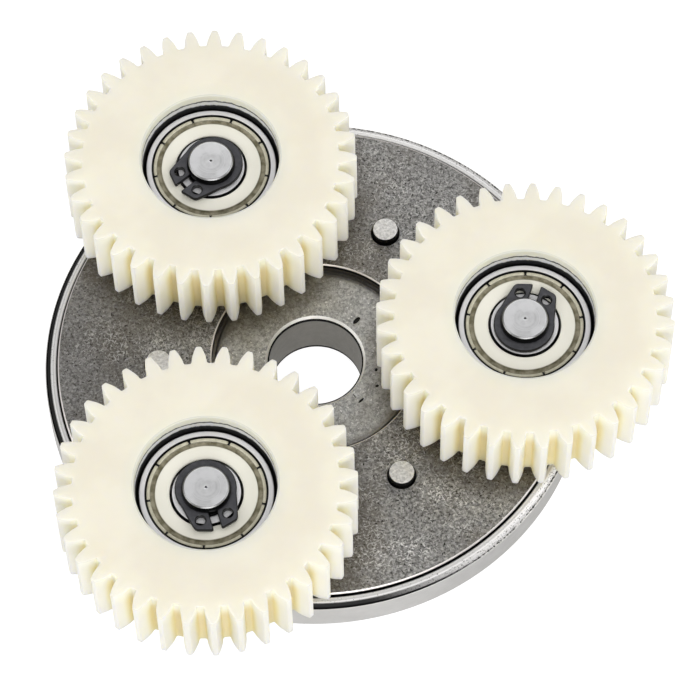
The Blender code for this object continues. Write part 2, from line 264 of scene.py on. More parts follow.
# Race
RACE_JOURNAL = 16.5
AXLE_BORE = 7.6
BORE_BEVEL = 0.62
BORE_LEDGE = 0.24
BORE_LEDGE_DROP = 0.42
KEYWAY_WIDTH = 5.0
KEYWAY_DEPTH = 2.3
KEYWAY_ANGLE = math.radians(227.5)

# Dents in the race's face: place, length, width and direction in degrees
RACE_DENTS = [
    (6.75, 7.27, 1.6, 0.75, 48),
    (9.91, -1.77, 0.65, 0.5, 60),
    (10.05, -4.68, 0.65, 0.45, 20),
    (7.42, -7.30, 1.2, 0.4, 45),
    (6.35, -6.47, 1.1, 0.14, -55),
]
DENT_DEPTH = 0.25


# Mesh building

def polar(radius, angle):
    return (radius * math.cos(angle), radius * math.sin(angle))


def around(count):
    return [2 * math.pi * i / count for i in range(count)]


def curve(start, control, end, steps=FILLET_STEPS):
    """Points of a quadratic curve from start to end, both included."""
    points = []
    for i in range(steps + 1):
        t = i / steps
        points.append(start * (1 - t) ** 2 + control * 2 * t * (1 - t) + end * t ** 2)
    return points


def rounded(corners, closed=True):
    """Replace each (x, y, radius) corner by a short curve that many millimetres long a side."""
    points = []
    count = len(corners)
    for i, (x, y, radius) in enumerate(corners):
        here = Vector((x, y))
        if not radius or (not closed and i in (0, count - 1)):
            points.append(here)
            continue
        before = Vector(corners[i - 1][:2]) - here
        after = Vector(corners[(i + 1) % count][:2]) - here
        start = here + before.normalized() * min(radius, before.length * FILLET_SHARE)
        end = here + after.normalized() * min(radius, after.length * FILLET_SHARE)
        points += curve(start, here, end)
    return points


def loft(name, rings, closed=True):
    """Skin a list of rings. A ring of one point is a pole, and closed joins last to first."""
    bm = bmesh.new()
    rows = [[bm.verts.new(Vector(point) * MM) for point in ring] for ring in rings]
    pairs = list(zip(rows, rows[1:]))
    if closed:
        pairs.append((rows[-1], rows[0]))
    for low, high in pairs:
        count = max(len(low), len(high))
        for i in range(count):
            j = (i + 1) % count
            corners = [low[i % len(low)], low[j % len(low)],
                       high[j % len(high)], high[i % len(high)]]
            bm.faces.new(list(dict.fromkeys(corners)))
    return finish_mesh(bm, name)


def finish_mesh(bm, name):
    bmesh.ops.recalc_face_normals(bm, faces=bm.faces)
    mesh = bpy.data.meshes.new(name)
    bm.to_mesh(mesh)
    bm.free()
    mesh.shade_smooth()
    mesh.set_sharp_from_angle(angle=SMOOTH_BELOW)
    return mesh


def lathe(name, corners, segments=ROUND, shape=None):
    """Turn a profile about Z. One that starts at radius 0 is a solid rod, and shape may move
    each finished point: it takes (radius, angle, height) and returns the same."""
    rod = corners[0][0] == 0
    rings = []
    for point in rounded(corners, closed=not rod):
        if point.x < 1e-6:
            rings.append([(0, 0, point.y)])
            continue
        ring = []
        for angle in around(segments):
            place = (point.x, angle, point.y)
            radius, turn, height = shape(*place) if shape else place
            ring.append((*polar(radius, turn), height))
        rings.append(ring)
    return loft(name, rings, closed=not rod)


def prism(name, outline, bottom, top):
    """Extrude an (x, y) outline in millimetres."""
    bm = bmesh.new()
    low = [bm.verts.new(Vector((x, y, bottom)) * MM) for x, y in outline]
    high = [bm.verts.new(Vector((x, y, top)) * MM) for x, y in outline]
    bm.faces.new(low[::-1])
    bm.faces.new(high)
    for i in range(len(low)):
        j = (i + 1) % len(low)
        bm.faces.new((low[i], low[j], high[j], high[i]))
    return finish_mesh(bm, name)


def add_object(name, mesh, place=(0, 0), turn=0.0):
    """Stand a mesh at a place in plan, turned about its own axis."""
    mesh.transform(Matrix.Rotation(turn, 4, "Z"))
    obj = bpy.data.objects.new(name, mesh)
    bpy.context.collection.objects.link(obj)
    obj.location = (place[0] * MM, place[1] * MM, 0)
    return obj


def baked(obj, name):
    """Apply an object's modifiers and return the mesh that they give."""
    bpy.context.view_layer.update()
    graph = bpy.context.evaluated_depsgraph_get()
    mesh = bpy.data.meshes.new_from_object(obj.evaluated_get(graph))
    mesh.name = name
    bpy.data.objects.remove(obj, do_unlink=True)
    return mesh


def cut(mesh, cutters):
    """Subtract each cutter mesh from a mesh."""
    body = add_object("cut_body", mesh)
    tools = [add_object("cutter", cutter) for cutter in cutters]
    for tool in tools:
        step = body.modifiers.new("cut", "BOOLEAN")
        step.operation = "DIFFERENCE"
        step.solver = "EXACT"
        step.object = tool
    result = baked(body, mesh.name)
    for tool in tools:
        bpy.data.objects.remove(tool, do_unlink=True)
    result.shade_smooth()
    result.set_sharp_from_angle(angle=CUT_SMOOTH_BELOW)
    return result


def hole(radius, bottom, top, place, segments=HOLE_ROUND, edge=0.0):
    """A cutter for a round hole, with a chamfer at its upper mouth if edge is given."""
    over = top + OVERCUT
    under = bottom - OVERCUT
    mouth = [(radius, over, 0)]
    if edge:
        mouth = [(radius + edge + OVERCUT, over, 0), (radius, top - edge, 0)]
    mesh = lathe("hole", [(0, over, 0), *mouth, (radius, under, 0), (0, under, 0)], segments)
    mesh.transform(Matrix.Translation((place[0] * MM, place[1] * MM, 0)))
    return mesh


def show(obj, node, body, material):
    """Give a piece its material and let it stand for a CAD node."""
    obj.data.materials.clear()
    obj.data.materials.append(material)
    weighted = obj.modifiers.new("weighted_normals", "WEIGHTED_NORMAL")
    weighted.keep_sharp = True
    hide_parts(node)
    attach(obj, body)
    return obj


# Gears

def involute_angle(radius, base):
    if radius <= base:
        return 0.0
    t = math.sqrt((radius / base) ** 2 - 1)
    return t - math.atan(t)


def tooth_outline(inset):
    """A gear's outline, shrunk by inset, as (radius, angle) points with rounded tips and roots."""
    pitch = MODULE * PLANET_TEETH / 2
    base = pitch * math.cos(PRESSURE_ANGLE)
    tip = pitch + MODULE + TIP_EXTRA - inset
    root = pitch - DEDENDUM - inset
    at_pitch = involute_angle(pitch, base)
    half_pitch = math.pi / PLANET_TEETH

    def half_width(radius):
        full = half_pitch / 2 + at_pitch - involute_angle(radius, base)
        return full - (inset + BACKLASH) / radius

    root_end = root + ROOT_ROUND
    tip_start = tip - TIP_ROUND
    floor = Vector((root, (half_width(root) + half_pitch) / 2))
    corner = Vector((root, half_width(root)))
    flank_foot = Vector((root_end, half_width(root_end)))
    side = [Vector((root, half_pitch))]
    side += curve(floor, corner, flank_foot, CORNER_STEPS)
    for i in range(1, FLANK_STEPS):
        radius = root_end + (tip_start - root_end) * i / FLANK_STEPS
        side.append(Vector((radius, half_width(radius))))
    land = Vector((tip, half_width(tip) * TIP_LAND))
    flank_top = Vector((tip_start, half_width(tip_start)))
    side += curve(flank_top, Vector((tip, half_width(tip))), land, CORNER_STEPS)
    points = []
    for middle in around(PLANET_TEETH):
        points += [(p.x, middle - p.y) for p in side]
        points += [(p.x, middle + p.y) for p in reversed(side[1:])]
    return points


def planet_gear_mesh():
    """Toothed rings from base to top, then a plain face and the bearing's stepped seat."""
    sections = []
    for angle in (90, 30, 0):
        inset = BASE_ROUND * (1 - math.cos(math.radians(angle)))
        rise = BASE_ROUND * (1 - math.sin(math.radians(angle)))
        sections.append((inset, GEAR_BASE + rise))
    for angle in (0, 30, 60, 90):
        inset = TOP_ROUND * (1 - math.cos(math.radians(angle)))
        fall = TOP_ROUND * (1 - math.sin(math.radians(angle)))
        sections.append((inset, GEAR_TOP - fall))
    rings = []
    for inset, height in sections:
        rings.append([(*polar(radius, angle), height) for radius, angle in tooth_outline(inset)])
    angles = [angle for _, angle in tooth_outline(0)]
    seat = BEARING_RADIUS + SEAT_GAP
    floor = BEARING_BASE - SEAT_DROP
    bore = rounded([
        (GEAR_FACE, GEAR_TOP, 0), (13.0, GEAR_TOP, 0), (SEAT_MOUTH, GEAR_TOP, 0.18),
        (SEAT_THROAT, GEAR_TOP - 2.8, 0.2), (seat, BEARING_TOP - 0.3, 0), (seat, floor, 0),
        (SEAT_LIP, floor, 0), (SEAT_LIP, GEAR_BASE, 0.4), (GEAR_FACE, GEAR_BASE, 0),
    ], closed=False)
    for point in bore:
        rings.append([(*polar(point.x, angle), point.y) for angle in angles])
    return loft("planet_gear", rings)


# Bearings, circlips, pins and rivets

def outer_ring_mesh():
    top = BEARING_TOP
    base = BEARING_BASE
    middle = (top + base) / 2
    return lathe("bearing_outer_ring", [
        (RING_EDGE, top, 0.06), (RING_SHOULDER, top, 0.1), (BEARING_RADIUS, top - 0.5, 0.15),
        (BEARING_RADIUS, base + 0.4, 0.1), (RING_SHOULDER + 0.05, base, 0.1), (RING_EDGE, base, 0.06),
        (RING_EDGE, base + 0.9, 0), (OUTER_TRACK, base + 0.9, 0.1), (OUTER_TRACK, base + TRACK_INSET, 0),
        (OUTER_GROOVE, middle, 0.6), (OUTER_TRACK, top - TRACK_INSET, 0),
        (OUTER_TRACK, top - 0.9, 0.1), (RING_EDGE, top - 0.9, 0),
    ])


def inner_ring_mesh():
    top = BEARING_TOP
    base = BEARING_BASE
    middle = (top + base) / 2
    return lathe("bearing_inner_ring", [
        (4.3, top, 0.05), (COLLAR_EDGE, top, 0.06), (5.5, top - 0.25, 0.05),
        (INNER_TRACK, top - 1.0, 0.1), (INNER_TRACK, top - TRACK_INSET, 0), (INNER_GROOVE, middle, 0.6),
        (INNER_TRACK, base + TRACK_INSET, 0), (INNER_TRACK, base + 1.0, 0.1),
        (5.5, base + 0.25, 0.05), (COLLAR_EDGE, base, 0.06), (4.3, base, 0.05),
        (COLLAR_BORE, base + 0.3, 0.05), (COLLAR_BORE, top - 0.3, 0.05),
    ], segments=SMALL_ROUND)


def shield_mesh(flip=False):
    """Pressed shield: a flat washer, a pressed-in groove and a rim crimped at nine notches."""
    top = BEARING_TOP - SHIELD_DROP

    def notched(radius, angle, height):
        step = 2 * math.pi / NOTCH_COUNT
        off = abs((angle - NOTCH_FIRST + step / 2) % step - step / 2) * radius
        on_rim = radius > SHIELD_CRIMP + 0.02 and height > top - 0.4
        if on_rim and off < NOTCH_HALF_WIDTH:
            height -= NOTCH_DEPTH
        return radius, angle, height

    mesh = lathe("bearing_shield", [
        (SHIELD_RIM, top - 0.2, 0.1), (9.4, top - 0.02, 0.12), (9.0, top - 0.02, 0.1),
        (SHIELD_CRIMP, top - 0.34, 0.08), (8.3, top - 0.34, 0.08), (SHIELD_STEP, top - 0.1, 0.1),
        (SHIELD_EDGE, top - 0.1, 0.15), (5.78, top - 0.55, 0), (5.95, top - 0.55, 0),
        (6.0, top - 0.4, 0.05), (8.0, top - 0.4, 0.1), (8.25, top - 0.62, 0.08),
        (SHIELD_RIM, top - 0.62, 0),
    ], segments=SHIELD_ROUND, shape=notched)
    if flip:
        middle = (BEARING_TOP + BEARING_BASE) * MM
        mesh.transform(Matrix.Translation((0, 0, middle)) @ Matrix.Rotation(math.pi, 4, "X"))
    return mesh


def circlip_mesh():
    """Retaining ring that opens towards +X, with an eyed lug on each side of the opening."""
    corners = [Vector((*polar(radius, math.radians(angle)), bend)) for radius, angle, bend in CLIP_LUG]
    for i in range(CLIP_BACK_STEPS + 1):
        angle = CLIP_BACK_START + (180 - CLIP_BACK_START) * i / CLIP_BACK_STEPS
        x, y = polar(CLIP_BACK_RADIUS, math.radians(angle))
        corners.append(Vector((x - CLIP_BACK_SHIFT, y, 0)))
    corners += [Vector((c.x, -c.y, c.z)) for c in reversed(corners[:-1])]
    for i in range(1, CLIP_INSIDE_STEPS):
        angle = CLIP_INSIDE_START + (360 - 2 * CLIP_INSIDE_START) * i / CLIP_INSIDE_STEPS
        corners.append(Vector((*polar(CLIP_INSIDE, math.radians(-angle)), 0)))
    outline = rounded([tuple(c) for c in corners])
    body = add_object("circlip", prism("circlip", outline, CLIP_BASE, CLIP_TOP))
    bevel = body.modifiers.new("edge", "BEVEL")
    bevel.width = CLIP_BEVEL * MM
    bevel.segments = 2
    bevel.limit_method = "ANGLE"
    bevel.angle_limit = CLIP_BEVEL_ABOVE
    eyes = [hole(EYE_RADIUS, CLIP_BASE, CLIP_TOP, polar(EYE_CIRCLE, angle), EYE_ROUND, EYE_CHAMFER)
            for angle in (EYE_ANGLE, -EYE_ANGLE)]
    return cut(baked(body, "circlip"), eyes)


def planet_pin_mesh():
    seat = BEARING_BASE - SEAT_DROP
    foot = PLATE_TOP + 0.3
    return lathe("planet_pin", [
        (0, PIN_TOP - 0.28, 0), (PIN_DIMPLE, PIN_TOP - 0.05, 0), (0.34, PIN_TOP, 0.06),
        (PIN_FACE, PIN_TOP, 0.08), (3.68, PIN_TOP - 0.2, 0.1), (PIN_RADIUS, PIN_TOP - 0.7, 0.2),
        (PIN_RADIUS, CLIP_TOP + CLIP_GAP, 0.05), (PIN_GROOVE, CLIP_TOP + CLIP_GAP, 0),
        (PIN_GROOVE, CLIP_BASE - CLIP_GAP, 0), (PIN_RADIUS, CLIP_BASE - CLIP_GAP, 0.05),
        (PIN_RADIUS, seat, 0), (PIN_COLLAR, seat, 0.2), (PIN_COLLAR, foot, 0.2),
        (PIN_RADIUS, foot, 0), (PIN_RADIUS, PIN_BASE, 0.3), (0, PIN_BASE, 0),
    ], segments=SMALL_ROUND)


def rivet_mesh():
    return lathe("rivet", [
        (0, RIVET_TOP, 0), (RIVET_RADIUS - 0.12, RIVET_TOP, 0.12),
        (RIVET_RADIUS, RIVET_TOP - 0.14, 0.1), (RIVET_RADIUS, RIVET_BASE + 0.3, 0.1),
        (RIVET_RADIUS - 0.3, RIVET_BASE, 0.1), (0, RIVET_BASE, 0),
    ], segments=RIVET_ROUND)


# Carrier and clutch

def rivet_holes(bottom, top, gap=RIVET_GAP):
    return [hole(RIVET_RADIUS + gap, bottom, top, place) for place in RIVET_PLACES]


def pin_holes(bottom, top):
    return [hole(PIN_HOLE, bottom, top, place) for place in PIN_PLACES]


def carrier_plate_mesh():
    plate = lathe("carrier_plate", [
        (PLATE_HOLE, PLATE_TOP - 0.2, 0.05), (PLATE_HOLE + 0.2, PLATE_TOP, 0.05),
        (PLATE_RADIUS - PLATE_CHAMFER, PLATE_TOP, 0.1),
        (PLATE_RADIUS, PLATE_TOP - PLATE_CHAMFER, 0.1),
        (PLATE_RADIUS, PLATE_BASE, 0), (PLATE_HOLE, PLATE_BASE, 0),
    ], segments=LARGE_ROUND)
    return cut(plate, rivet_holes(PLATE_BASE, PLATE_TOP) + pin_holes(PLATE_BASE, PLATE_TOP))


def back_plate_mesh():
    radius = radius_of("back_plate")
    plate = lathe("back_plate", [
        (PLATE_HOLE, BACK_TOP, 0), (radius, BACK_TOP, 0.1), (radius, BACK_BASE, 0.25),
        (PLATE_HOLE, BACK_BASE, 0.25),
    ], segments=LARGE_ROUND)
    return cut(plate, rivet_holes(BACK_BASE, BACK_TOP, BACK_RIVET_GAP))


def cam_outline():
    """Inside of the shell: round clearance over the race with a ramp for each roller."""
    clearance = RACE_TRACK + TRACK_GAP
    points = []
    for x, y in ROLLER_PLACES:
        centre = math.atan2(y, x)
        start = centre + RAMP_START
        end = centre + RAMP_END
        points.append(polar(clearance, start))
        for i in range(RAMP_STEPS + 1):
            share = i / RAMP_STEPS
            depth = RAMP_NARROW + (RAMP_WIDE - RAMP_NARROW) * share
            points.append(polar(depth, start + (end - start) * share))
        points.append(polar(clearance, end))
        land = 2 * math.pi / len(ROLLER_PLACES) - (end - start)
        points += [polar(clearance, end + land * i / LAND_STEPS) for i in range(1, LAND_STEPS)]
    return points


def clutch_shell_mesh():
    floor = PLATE_BASE - TRACK_GAP
    recess = PLATE_RADIUS + RECESS_GAP
    blank = RACE_TRACK - OVERCUT
    shell = lathe("clutch_shell", [
        (recess, SHELL_TOP - 0.15, 0.05), (recess + 0.15, SHELL_TOP, 0.08),
        (SHOULDER_EDGE, SHELL_TOP - 0.06, 0.4), (SLOPE_FOOT, SHELL_TOP - 0.32, 0.3),
        (GROOVE_INSIDE, BAND_TOP + 0.05, 0.1), (GROOVE_INSIDE + 0.02, BAND_TOP - 0.2, 0.02),
        (GROOVE_OUTSIDE, BAND_TOP - 0.02, 0.05), (SHELL_RADIUS, BAND_TOP - 0.15, 0.1),
        (SHELL_RADIUS, SHELL_BASE + 0.15, 0.1), (SHELL_RADIUS - 0.15, SHELL_BASE, 0.1),
        (blank, SHELL_BASE, 0), (blank, floor, 0), (recess, floor, 0),
    ], segments=SHELL_ROUND)
    cam = prism("cam", cam_outline(), SHELL_BASE - OVERCUT, floor + OVERCUT)
    return cut(shell, [cam] + rivet_holes(SHELL_BASE, floor) + pin_holes(SHELL_BASE, floor))


def inner_race_mesh():
    track_top = PLATE_BASE - TRACK_GAP
    race = lathe("inner_race", [
        (AXLE_BORE + BORE_BEVEL, RACE_TOP, 0.08), (15.3, RACE_TOP, 0.3), (16.2, RACE_TOP - 0.22, 0.2),
        (RACE_JOURNAL, RACE_TOP - 0.6, 0.1), (RACE_JOURNAL, track_top, 0),
        (RACE_TRACK, track_top, 0.3), (RACE_TRACK, SHELL_BASE, 0.3), (RACE_JOURNAL, SHELL_BASE, 0),
        (RACE_JOURNAL, RACE_BASE, 0.3), (AXLE_BORE + BORE_BEVEL, RACE_BASE, 0.05),
        (AXLE_BORE, RACE_BASE + 0.5, 0.05), (AXLE_BORE, RACE_TOP - BORE_LEDGE_DROP - 0.1, 0.03),
        (AXLE_BORE + BORE_LEDGE, RACE_TOP - BORE_LEDGE_DROP, 0.03),
    ], segments=LARGE_ROUND)
    half = KEYWAY_WIDTH / 2
    reach = AXLE_BORE + KEYWAY_DEPTH
    turn = Matrix.Rotation(KEYWAY_ANGLE, 2)
    slot = [turn @ Vector(p) for p in ((0, -half), (reach, -half), (reach, half), (0, half))]
    cutters = [prism("keyway", slot, RACE_BASE - OVERCUT, RACE_TOP + OVERCUT)]
    for x, y, length, width, angle in RACE_DENTS:
        lean = Matrix.Rotation(math.radians(angle), 2)
        outline = []
        for a in around(DENT_ROUND):
            offset = Vector((length / 2 * math.cos(a), width / 2 * math.sin(a)))
            outline.append(Vector((x, y)) + lean @ offset)
        cutters.append(prism("dent", outline, RACE_TOP - DENT_DEPTH, RACE_TOP + OVERCUT))
    return cut(race, cutters)


# Materials

class Shade:
    """A material whose nodes work in millimetres of the piece's own space."""

    def __init__(self, name, roughness, metallic, specular=0.5):
        self.material = bpy.data.materials.new(name)
        self.material.use_nodes = True
        self.tree = self.material.node_tree
        self.shader = self.tree.nodes["Principled BSDF"]
        self.shader.inputs["Roughness"].default_value = roughness
        self.shader.inputs["Metallic"].default_value = metallic
        self.shader.inputs["Specular IOR Level"].default_value = specular
        space = self.node("ShaderNodeTexCoord")
        scale = self.node("ShaderNodeVectorMath", operation="SCALE")
        scale.inputs["Scale"].default_value = 1 / MM
        self.link(space.outputs["Object"], scale.inputs[0])
        self.place = scale.outputs[0]
        split = self.node("ShaderNodeSeparateXYZ")
        self.link(self.place, split.inputs[0])
        self.x, self.y, self.z = split.outputs
        self.radius = self.length(self.x, self.y)

    def node(self, kind, **settings):
        node = self.tree.nodes.new(kind)
        for key, value in settings.items():
            setattr(node, key, value)
        return node

    def link(self, output, socket):
        self.tree.links.new(output, socket)

    def feed(self, socket, value):
        if isinstance(value, bpy.types.NodeSocket):
            self.link(value, socket)
        elif isinstance(value, tuple) and len(value) == 3 and socket.type == "RGBA":
            socket.default_value = (*value, 1)
        else:
            socket.default_value = value

    def maths(self, operation, a, b=0.0):
        node = self.node("ShaderNodeMath", operation=operation)
        self.feed(node.inputs[0], a)
        self.feed(node.inputs[1], b)
        return node.outputs[0]

    def fold(self, operation, values):
        """Join all the values by one operation."""
        total = values[0]
        for value in values[1:]:
            total = self.maths(operation, total, value)
        return total

    def times(self, *values):
        return self.fold("MULTIPLY", values)

    def plus(self, *values):
        return self.fold("ADD", values)

    def most(self, *values):
        return self.fold("MAXIMUM", values)

    def minus(self, a, b):
        return self.maths("SUBTRACT", a, b)

    def above(self, value, limit):
        return self.maths("GREATER_THAN", value, limit)

    def below(self, value, limit):
        return self.maths("LESS_THAN", value, limit)

    def length(self, a, b):
        """How long the line (a, b) is."""
        return self.maths("SQRT", self.plus(self.times(a, a), self.times(b, b)))

    def ramp(self, value, low, high):
        """0 below low, 1 above high, smooth between. With low above high it falls instead."""
        node = self.node("ShaderNodeMapRange", interpolation_type="SMOOTHSTEP")
        self.feed(node.inputs["Value"], value)
        if low < high:
            settings = (low, high, 0.0, 1.0)
        else:
            settings = (high, low, 1.0, 0.0)
        for name, setting in zip(("From Min", "From Max", "To Min", "To Max"), settings):
            node.inputs[name].default_value = setting
        return node.outputs["Result"]

    def blend(self, share, a, b):
        """Colour a where share is 0, and b where it is 1."""
        node = self.node("ShaderNodeMix", data_type="RGBA")
        self.feed(node.inputs[0], share)
        self.feed(node.inputs[6], a)
        self.feed(node.inputs[7], b)
        return node.outputs[2]

    def noise(self, size, detail=3.0, rough=0.5, stretch=(1, 1, 1), turn=0.0, warp=0.0):
        """Noise with features about size millimetres across, drawn out by stretch."""
        mapping = self.node("ShaderNodeMapping", vector_type="TEXTURE")
        mapping.inputs["Rotation"].default_value = (0, 0, turn)
        mapping.inputs["Scale"].default_value = stretch
        self.link(self.place, mapping.inputs[0])
        node = self.node("ShaderNodeTexNoise")
        self.link(mapping.outputs[0], node.inputs["Vector"])
        node.inputs["Scale"].default_value = 1 / size
        node.inputs["Detail"].default_value = detail
        node.inputs["Roughness"].default_value = rough
        node.inputs["Distortion"].default_value = warp
        return node.outputs["Fac"]

    def lines(self, value, size, detail=2.0):
        """Noise along one value, for the fine lines a lathe leaves."""
        node = self.node("ShaderNodeTexNoise", noise_dimensions="1D")
        self.feed(node.inputs["W"], self.times(value, 1 / size))
        node.inputs["Scale"].default_value = 1.0
        node.inputs["Detail"].default_value = detail
        return node.outputs["Fac"]

    def near_planet(self, start, full):
        """0 at start millimetres from every planet's axis, 1 at full millimetres from one."""
        away = [self.length(self.minus(self.x, x), self.minus(self.y, y)) for x, y in PIN_PLACES]
        return self.ramp(self.fold("MINIMUM", away), start, full)

    def colour(self, value):
        self.feed(self.shader.inputs["Base Color"], value)

    def vary(self, socket, value, low, high):
        """Let a shader's socket run from low to high as value runs from 0 to 1."""
        node = self.node("ShaderNodeMapRange")
        self.feed(node.inputs["Value"], value)
        node.inputs["To Min"].default_value = low
        node.inputs["To Max"].default_value = high
        self.link(node.outputs["Result"], self.shader.inputs[socket])

    def rough(self, value, low, high):
        self.vary("Roughness", value, low, high)

    def metal(self, value, low, high):
        self.vary("Metallic", value, low, high)

    def bump(self, height, depth):
        """Raise the surface by height times depth millimetres."""
        node = self.node("ShaderNodeBump")
        node.inputs["Strength"].default_value = 1.0
        node.inputs["Distance"].default_value = depth * MM
        self.link(height, node.inputs["Height"])
        self.link(node.outputs[0], self.shader.inputs["Normal"])


# Black and near-black colours of painted shade, and the directions of the plate's scratches
SHADE_BLACK = (0.006, 0.006, 0.006)
SHADE_DARK = (0.008, 0.008, 0.008)
SCRATCH_TURNS = (0.35, 1.25, 2.05, 2.8)


def nylon():
    """Moulded natural nylon: cream and slightly see-through, with painted light making the teeth's walls
    and tips paler, painted amber shade down in the tooth gaps, painted shade greying the face round the
    bore, and grey in the bearing's seat with grease and painted shade, over a painted black ring at its
    foot."""
    s = Shade("nylon", 0.55, 0.0)
    cloud = s.ramp(s.noise(9, 3), 0.35, 0.65)
    cream = s.blend(cloud, (0.83, 0.785, 0.665), (0.865, 0.825, 0.705))
    # Painted light: the walls below the top edge are painted paler than the face.
    below_edge = s.ramp(s.z, GEAR_TOP - TOP_ROUND, GEAR_TOP - 2 * TOP_ROUND)
    walls = s.times(below_edge, s.ramp(s.radius, GEAR_FACE, GEAR_FACE + 0.4))
    cream = s.blend(walls, cream, (0.96, 0.925, 0.80))
    below_face = s.ramp(s.z, GEAR_TOP - 1.2, GEAR_TOP - 4.5)
    # Painted shade: amber down in the tooth gaps, where light passes through the nylon.
    in_gap = s.ramp(s.radius, 22.8, 21.0)
    cream = s.blend(s.times(below_face, in_gap), cream, (0.86, 0.77, 0.46))
    # Painted light: the tips below the face are painted paler.
    on_tips = s.ramp(s.radius, 22.2, 23.0)
    cream = s.blend(s.times(below_face, on_tips), cream, (0.95, 0.91, 0.80))
    # Painted shade: the face greys towards the seat's mouth.
    halo = s.times(s.ramp(s.radius, 14.0, SEAT_MOUTH), 0.35)
    cream = s.blend(halo, cream, (0.70, 0.71, 0.63))
    # Inside the seat the nylon is painted greyer as shade; the grey band and its dark line are grease
    # and painted shade, and the black ring at the seat's foot is painted shade.
    inside = s.below(s.radius, SEAT_MOUTH + 0.3)
    wall = s.plus(s.z, s.times(s.minus(s.noise(1.0, 4, 0.6), 0.5), 0.7))
    grey = s.times(inside, s.ramp(wall, GEAR_TOP - 1.35, GEAR_TOP - 1.6))
    line = s.times(grey, s.ramp(wall, GEAR_TOP - 1.95, GEAR_TOP - 1.75))
    cream = s.blend(inside, cream, (0.68, 0.67, 0.58))
    black = s.times(inside, s.ramp(wall, GEAR_TOP - 2.6, GEAR_TOP - 2.9))
    grime_and_shade = s.blend(line, (0.62, 0.62, 0.60), (0.05, 0.05, 0.045))
    s.colour(s.blend(black, s.blend(grey, cream, grime_and_shade), SHADE_BLACK))
    s.shader.inputs["Subsurface Weight"].default_value = 0.7
    s.shader.inputs["Subsurface Radius"].default_value = (1.0, 0.93, 0.6)
    s.shader.inputs["Subsurface Scale"].default_value = 4.0 * MM
    s.rough(s.noise(1.5, 4), 0.48, 0.62)
    s.bump(s.noise(0.5, 4, 0.6), 0.012)
    return s.material


def plate_steel():
    """Tumbled plate: dull grey with dark pits, peppered with short bright flecks and scratches
    that thin out towards the rim and +Y. It has painted shade round the planets and towards -X, painted
    highlights on the chamfers of both edges and painted black shadow down its walls."""
    s = Shade("plate_steel", 0.5, 0.85, specular=0.2)
    grain = s.ramp(s.noise(0.5, 5, 0.7), 0.34, 0.66)
    base = s.blend(grain, (0.11, 0.107, 0.103), (0.46, 0.452, 0.44))
    patches = s.times(s.ramp(s.noise(12, 3), 0.45, 0.65), 0.5)
    base = s.blend(patches, base, (0.17, 0.15, 0.125))
    worn = s.times(s.ramp(s.radius, 42, 37), s.ramp(s.y, 60, -10))
    worn = s.times(s.ramp(s.noise(9, 3), 0.38, 0.62), worn)
    fleck = s.ramp(s.noise(0.42, 2, 0.6, warp=0.7), 0.57, 0.65)
    fleck = s.times(fleck, s.plus(s.times(worn, 0.6), 0.4))
    base = s.blend(fleck, base, (0.90, 0.89, 0.87))
    for turn in SCRATCH_TURNS:
        streak = s.noise(0.55, 2, 0.5, stretch=(2.2, 0.5, 1), turn=turn, warp=0.3)
        scratch = s.times(s.ramp(streak, 0.61, 0.66), s.plus(s.times(worn, 0.8), 0.2))
        base = s.blend(s.times(scratch, 0.8), base, (0.95, 0.94, 0.92))
    pits = s.ramp(s.noise(0.4, 2, 0.5), 0.37, 0.30)
    base = s.blend(pits, base, (0.02, 0.018, 0.016))
    # Painted shade: brown round the planets and darker towards -X.
    base = s.blend(s.times(s.near_planet(28, 23.5), 0.5), base, (0.085, 0.073, 0.062))
    base = s.blend(s.times(s.ramp(s.x, -12, -36), 0.35), base, (0.10, 0.09, 0.08))
    # Painted highlight: the chamfers on both edges are painted bright.
    chamfer = PLATE_CHAMFER - 0.01
    top = s.above(s.z, PLATE_TOP - chamfer)
    mouth = s.times(top, s.below(s.radius, PLATE_HOLE + 0.22))
    rim = s.times(top, s.above(s.radius, PLATE_RADIUS - chamfer))
    base = s.blend(s.most(mouth, rim), base, (0.80, 0.76, 0.73))
    inner_wall = s.below(s.radius, PLATE_HOLE + 0.01)
    outer_wall = s.above(s.radius, PLATE_RADIUS - 0.01)
    base = s.blend(inner_wall, base, (0.14, 0.125, 0.11))
    # Painted shadow: black down the walls below the chamfers.
    inner_wall_shade = s.times(inner_wall, s.ramp(s.z, PLATE_TOP - 1.0, PLATE_TOP - 0.9))
    wall_shade = s.times(s.most(inner_wall_shade, outer_wall), s.below(s.z, PLATE_TOP - chamfer))
    s.colour(s.blend(wall_shade, base, SHADE_BLACK))
    s.metal(s.minus(rim, mouth), 0.85, 1.0)
    s.rough(grain, 0.42, 0.62)
    s.bump(s.noise(0.6, 5, 0.6), 0.03)
    return s.material


